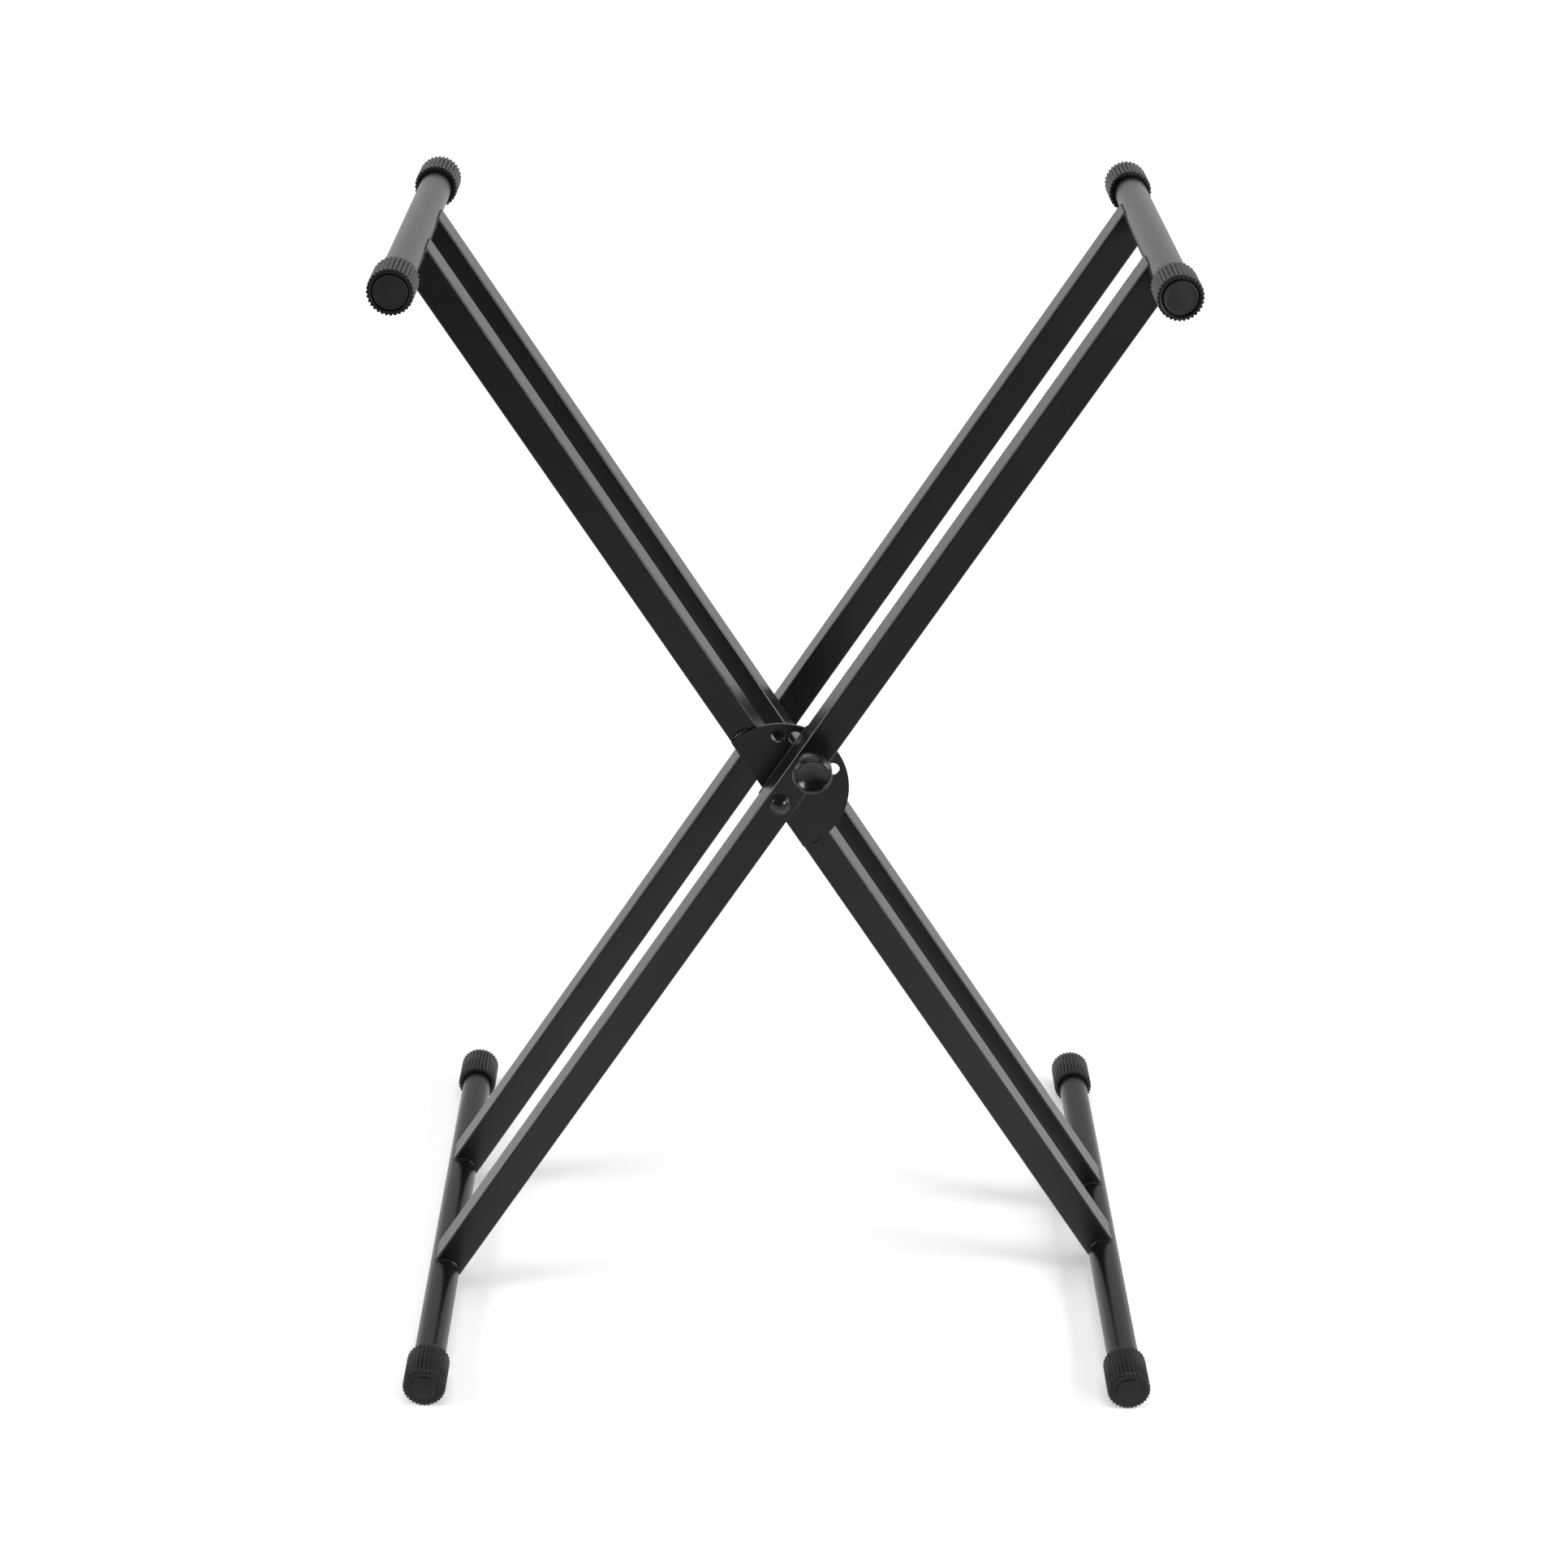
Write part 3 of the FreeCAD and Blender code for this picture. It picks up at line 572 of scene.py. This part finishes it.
def knob():
    """Knurled knob: a ring round the seat of its cap, and a socket over the lock's nose."""
    front = -KNOB_FRONT / MM
    rear = -KNOB_REAR / MM
    edge = KNOB_RADIUS / MM
    seat = front + CAP_DEPTH
    ring = CAP_RADIUS + 0.1         # the inside of the ring
    bore = 3.05
    socket = 7.4
    socket_floor = -20.2
    profile = [(bore, seat), (ring, seat), (ring, front + 0.6), (12.7, front + 0.28), (12.95, front + 0.06),
               (13.25, front), (13.55, front + 0.07), (13.8, front + 0.3), (13.9, front + 0.62),
               (14.05, front + 0.75), (14.5, front + 0.78), (edge - 0.3, front + 1.0),
               (edge - 0.05, front + 1.4), (edge, front + 1.9), (edge, rear - 0.9), (edge - 0.6, rear),
               (socket, rear), (socket, socket_floor), (bore, socket_floor)]
    piece = turned("knob", profile, 4 * KNURLS, closed=True)
    height = 0.5
    pulls = [(0, 1 + height / edge), (1 / 4, 1 + 0.25 * height / edge)]
    pull_columns(piece, KNURLS, front + 1.5, rear - 0.8, edge - 0.1, pulls)
    smooth(piece, 50)
    return piece


def knob_cap():
    """Polished cap with a dished face and a thin rounded rim."""
    front = -KNOB_FRONT / MM
    dish = 11.9
    dish_depth = 3.1
    profile = crown(dish, front + 0.45, -dish_depth, 16)
    profile += [(12.15, front + 0.32), (12.35, front + 0.3), (CAP_RADIUS, front + 0.5),
                (CAP_RADIUS, front + CAP_DEPTH), (0, front + CAP_DEPTH)]
    piece = turned("knob_cap", profile, 144)
    smooth(piece, 40)
    return piece


# --- the stand ---------------------------------------------------------------

def build_arms(coat, rubber, plastic):
    patterns = {"grip": sleeve(), "foot": foot(), "plug": plug()}
    tubes = {"top": tube("top_tube", TOP_TUBE), "floor": tube("floor_tube", FLOOR_TUBE)}
    for arm in ARMS:
        body = BODY_OF_ARM[arm]
        for level, pattern in tubes.items():
            name = "%s_%s_tube" % (arm, level)
            piece = copied(pattern, name + "_dressed")
            placed(piece, tube_end(arm, level, "front", 0))
            dressed(piece, body, "black_powder_coat", coat, name)
        for side in SIDES:
            name = "%s_%s_bar" % (arm, side)
            dressed(softened(name, 0), body, "black_powder_coat", coat, name)
            ends = {
                "grip": ("top", TOP_TUBE / 2 + PLUG_SEAT, "black_rubber", rubber),
                "plug": ("top", TOP_TUBE / 2, "black_plastic", plastic),
                "foot": ("floor", FLOOR_TUBE / 2 + FOOT_WALL, "black_rubber", rubber),
            }
            for part, (level, reach, slot, material) in ends.items():
                name = "%s_%s_%s" % (arm, side, part)
                piece = copied(patterns[part], name + "_dressed")
                placed(piece, tube_end(arm, level, side, reach))
                dressed(piece, body, slot, material, name)
            for level in ("top", "floor"):
                name = "%s_%s_%s_weld" % (arm, side, level)
                dressed(weld_bead(name, arm, side, level), body, "black_powder_coat", coat)
    for pattern in (*patterns.values(), *tubes.values()):
        bpy.data.objects.remove(pattern)


def build_pivots(gloss, nylon, black):
    pattern = pivot_cap()
    for side in SIDES:
        piece = copied(pattern, side + "_pivot_cap_dressed")
        placed(piece, pivot_end(side))
        dressed(piece, "outer_arms", "gloss_black", gloss, side + "_pivot_cap")
        for part, slot, material in (("spacer", "nylon", nylon), ("washer", "blackened_steel", black),
                                     ("nut", "blackened_steel", black)):
            name = "%s_pivot_%s" % (side, part)
            dressed(softened(name, 0.25 * MM), "outer_arms", slot, material, name)
    bpy.data.objects.remove(pattern)


def build_lock(coat, knob_finish, gloss, black):
    for name, body in (("locking_plate", "inner_arms"), ("backing_plate", "outer_arms")):
        dressed(softened(name, 0.3 * MM), body, "black_powder_coat", coat, name)
    for end, upward, height in (("upper", 1, 1.5), ("lower", -1, 2.0)):
        bead = plate_bead("plate_%s_weld" % end, upward, height)
        dressed(bead, "inner_arms", "black_powder_coat", coat)
    dressed(softened("lock_housing", 0.3 * MM), "outer_arms", "blackened_steel", black, "lock_housing")
    place = on_arm("outer", 0, -HALF_DEPTH, LOCK_RADIUS, facing_in("front"))
    for piece, name, slot, material in ((knob(), "lock_knob", "knob_black", knob_finish),
                                        (knob_cap(), "lock_knob_cap", "gloss_black", gloss)):
        piece.name = name + "_dressed"
        placed(piece, place)
        dressed(piece, "lock_plunger", slot, material, name)


def finish_hidden_steel(bright, nylon):
    """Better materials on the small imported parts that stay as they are."""
    small = {"lock_guide": nylon, "lock_pin": bright}
    for side in SIDES:
        small[side + "_pivot_bolt"] = bright
        for arm in ARMS:
            small["%s_%s_bush" % (arm, side)] = bright
    for name, material in small.items():
        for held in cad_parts[name].material_slots:
            held.material = material


def build_spring(bright):
    """The coil spring, given its own copy of its mesh. The real spring shortens towards the housing's nose
    as the knob is pulled.
    """
    spring = dressed(softened("lock_spring", 0), "outer_arms", "bright_steel", bright, "lock_spring")
    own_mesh(spring)


# --- studio ------------------------------------------------------------------

def set_camera():
    turn, tilt, roll = CAMERA_YAW, CAMERA_TILT, CAMERA_ROLL
    level_right = Vector((math.cos(turn), math.sin(turn), 0))
    level_ahead = Vector((-math.sin(turn), math.cos(turn), 0))
    upright = Vector((0, 0, 1))
    ahead = level_ahead * math.cos(tilt) - upright * math.sin(tilt)
    over = upright * math.cos(tilt) + level_ahead * math.sin(tilt)
    right = level_right * math.cos(roll) + over * math.sin(roll)
    above = over * math.cos(roll) - level_right * math.sin(roll)
    lens = bpy.data.cameras.new("camera")
    lens.sensor_width = 36
    lens.lens = CAMERA_LENS
    lens.clip_start = 0.1
    lens.clip_end = 50
    camera = bpy.data.objects.new("camera", lens)
    turned_to = Matrix((right, above, -ahead)).transposed().to_4x4()
    camera.matrix_world = Matrix.Translation(CAMERA_PLACE) @ turned_to
    bpy.context.scene.collection.objects.link(camera)
    bpy.context.scene.camera = camera


def softbox(name, place, size, power, aim=(0, 0, 0.45)):
    lamp = bpy.data.lights.new(name, "AREA")
    lamp.shape = "RECTANGLE"
    lamp.size, lamp.size_y = size
    lamp.energy = power
    box = bpy.data.objects.new(name, lamp)
    box.location = place
    box.rotation_euler = (Vector(aim) - Vector(place)).to_track_quat("-Z", "Y").to_euler()
    bpy.context.scene.collection.objects.link(box)


def light_studio():
    softbox("softbox_above", (0, 0, 3.2), (2.6, 2.6), 44)
    softbox("softbox_left", (-2.3, -0.5, 1.3), (1.1, 1.3), 48)
    softbox("softbox_right", (2.3, -0.5, 1.3), (1.1, 1.3), 54)
    softbox("softbox_key", (1.55, -1.9, 0.9), (0.8, 0.8), 17)


def by_ray(tree, plain, mirrored, seen):
    """One shader for the light that falls on things, one for reflections and one for the camera."""
    path = tree.nodes.new("ShaderNodeLightPath")
    mixed = plain
    for ray, shader in (("Is Glossy Ray", mirrored), ("Is Camera Ray", seen)):
        mix = tree.nodes.new("ShaderNodeMixShader")
        tree.links.new(path.outputs[ray], mix.inputs[0])
        tree.links.new(mixed.outputs[0], mix.inputs[1])
        tree.links.new(shader.outputs[0], mix.inputs[2])
        mixed = mix
    return mixed.outputs[0]


def axes(tree, place):
    """A coordinate's X, Y and Z."""
    split = tree.nodes.new("ShaderNodeSeparateXYZ")
    tree.links.new(place, split.inputs["Vector"])
    return split.outputs


def white_world():
    """White behind for the camera; dark in front and at the sides for reflections."""
    world = bpy.data.worlds.new("studio")
    bpy.context.scene.world = world
    world.use_nodes = True
    tree = world.node_tree
    tree.nodes.clear()
    out = tree.nodes.new("ShaderNodeOutputWorld")
    ahead = axes(tree, tree.nodes.new("ShaderNodeTexCoord").outputs["Generated"])["Y"]
    lit, mirrored, seen = (tree.nodes.new("ShaderNodeBackground") for _ in range(3))
    for background in (lit, mirrored, seen):
        background.inputs["Color"].default_value = (1, 1, 1, 1)
    lit.inputs["Strength"].default_value = 0.15
    tree.links.new(ranged(tree, ahead, 0.5, 1.0, 0.03, 0.92, smooth=True), mirrored.inputs["Strength"])
    tree.links.new(by_ray(tree, lit, mirrored, seen), out.inputs["Surface"])


def tone_ramp(tree, place, tones):
    """Grey levels along one axis of the floor, from a list of (metres, level)."""
    start, end = tones[0][0], tones[-1][0]
    ramp = tree.nodes.new("ShaderNodeValToRGB")
    tree.links.new(ranged(tree, place, start, end), ramp.inputs["Fac"])
    stops = ramp.color_ramp.elements
    stops[0].color = (tones[0][1],) * 3 + (1,)
    stops[1].color = (tones[-1][1],) * 3 + (1,)
    for metres, level in tones[1:-1]:
        stops.new((metres - start) / (end - start)).color = (level, level, level, 1)
    return ramp.outputs["Color"]


# The studio floor's brightness in reflections, from the front (-Y) to the back: (metres, level).
# It falls off towards the camera, further on the left than on the right.
FLOOR_LEFT = [(-2.6, 0.08), (-1.6, 0.55), (-0.9, 0.6), (0.2, 1.0), (1.2, 0.9)]
FLOOR_RIGHT = [(-2.6, 0.28), (-1.3, 0.42), (0.2, 1.0), (1.2, 0.9)]


def mirrored_tones(tree, place):
    """The floor's brightness in reflections: its left and right tones, faded into each other."""
    along = axes(tree, place)
    fade = tree.nodes.new("ShaderNodeMix")
    fade.data_type = "RGBA"
    ports = {socket.identifier: socket for socket in (*fade.inputs, *fade.outputs)}
    tree.links.new(ranged(tree, along["X"], -0.15, 0.15), ports["Factor_Float"])
    tree.links.new(tone_ramp(tree, along["Y"], FLOOR_LEFT), ports["A_Color"])
    tree.links.new(tone_ramp(tree, along["Y"], FLOOR_RIGHT), ports["B_Color"])
    return ports["Result_Color"]


def matte(tree, level):
    cloth = tree.nodes.new("ShaderNodeBsdfDiffuse")
    cloth.inputs["Color"].default_value = (level, level, level, 1)
    return cloth


def glowing_cloth(tree, place):
    """Matte white that keeps the shadows near the stand and glows to plain white further out."""
    away = tree.nodes.new("ShaderNodeVectorMath")
    away.operation = "LENGTH"
    tree.links.new(place, away.inputs[0])
    rise = ranged(tree, away.outputs["Value"], 0.4, 1.6, 0.28, 1.0, smooth=True)
    glow = tree.nodes.new("ShaderNodeEmission")
    tree.links.new(rise, glow.inputs["Strength"])
    both = tree.nodes.new("ShaderNodeAddShader")
    tree.links.new(matte(tree, 0.85).outputs[0], both.inputs[0])
    tree.links.new(glow.outputs[0], both.inputs[1])
    return both


def white_floor():
    """White floor with soft shadows, which darkens towards the front in reflections."""
    bpy.ops.object.select_all(action="DESELECT")
    bpy.ops.mesh.primitive_plane_add(size=40)
    floor = bpy.context.object
    floor.name = "floor"
    material = bpy.data.materials.new("white_sweep")
    material.use_nodes = True
    tree = material.node_tree
    tree.nodes.clear()
    out = tree.nodes.new("ShaderNodeOutputMaterial")
    place = tree.nodes.new("ShaderNodeTexCoord").outputs["Object"]
    mirrored = tree.nodes.new("ShaderNodeEmission")
    tree.links.new(mirrored_tones(tree, place), mirrored.inputs["Color"])
    surface = by_ray(tree, matte(tree, 0.8), mirrored, glowing_cloth(tree, place))
    tree.links.new(surface, out.inputs["Surface"])
    floor.data.materials.append(material)


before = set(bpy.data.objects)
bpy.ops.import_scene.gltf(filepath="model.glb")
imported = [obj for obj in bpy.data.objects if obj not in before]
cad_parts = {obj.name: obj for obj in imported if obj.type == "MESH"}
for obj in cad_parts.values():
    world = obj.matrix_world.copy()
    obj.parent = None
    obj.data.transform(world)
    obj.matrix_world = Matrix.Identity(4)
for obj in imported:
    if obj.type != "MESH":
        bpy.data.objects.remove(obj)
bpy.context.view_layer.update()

set_camera()
steel_coat = powder_coat()
gloss_cap = polished_plastic()
black_steel = black_zinc()
plain_nylon = black_nylon()
build_arms(steel_coat, ribbed_rubber(), moulded_plastic())
build_pivots(gloss_cap, plain_nylon, black_steel)
build_lock(steel_coat, knob_plastic(), gloss_cap, black_steel)
bright_steel = bright_zinc()
finish_hidden_steel(bright_steel, plain_nylon)
build_spring(bright_steel)
white_world()
white_floor()
light_studio()
bpy.context.scene.view_settings.view_transform = "Standard"
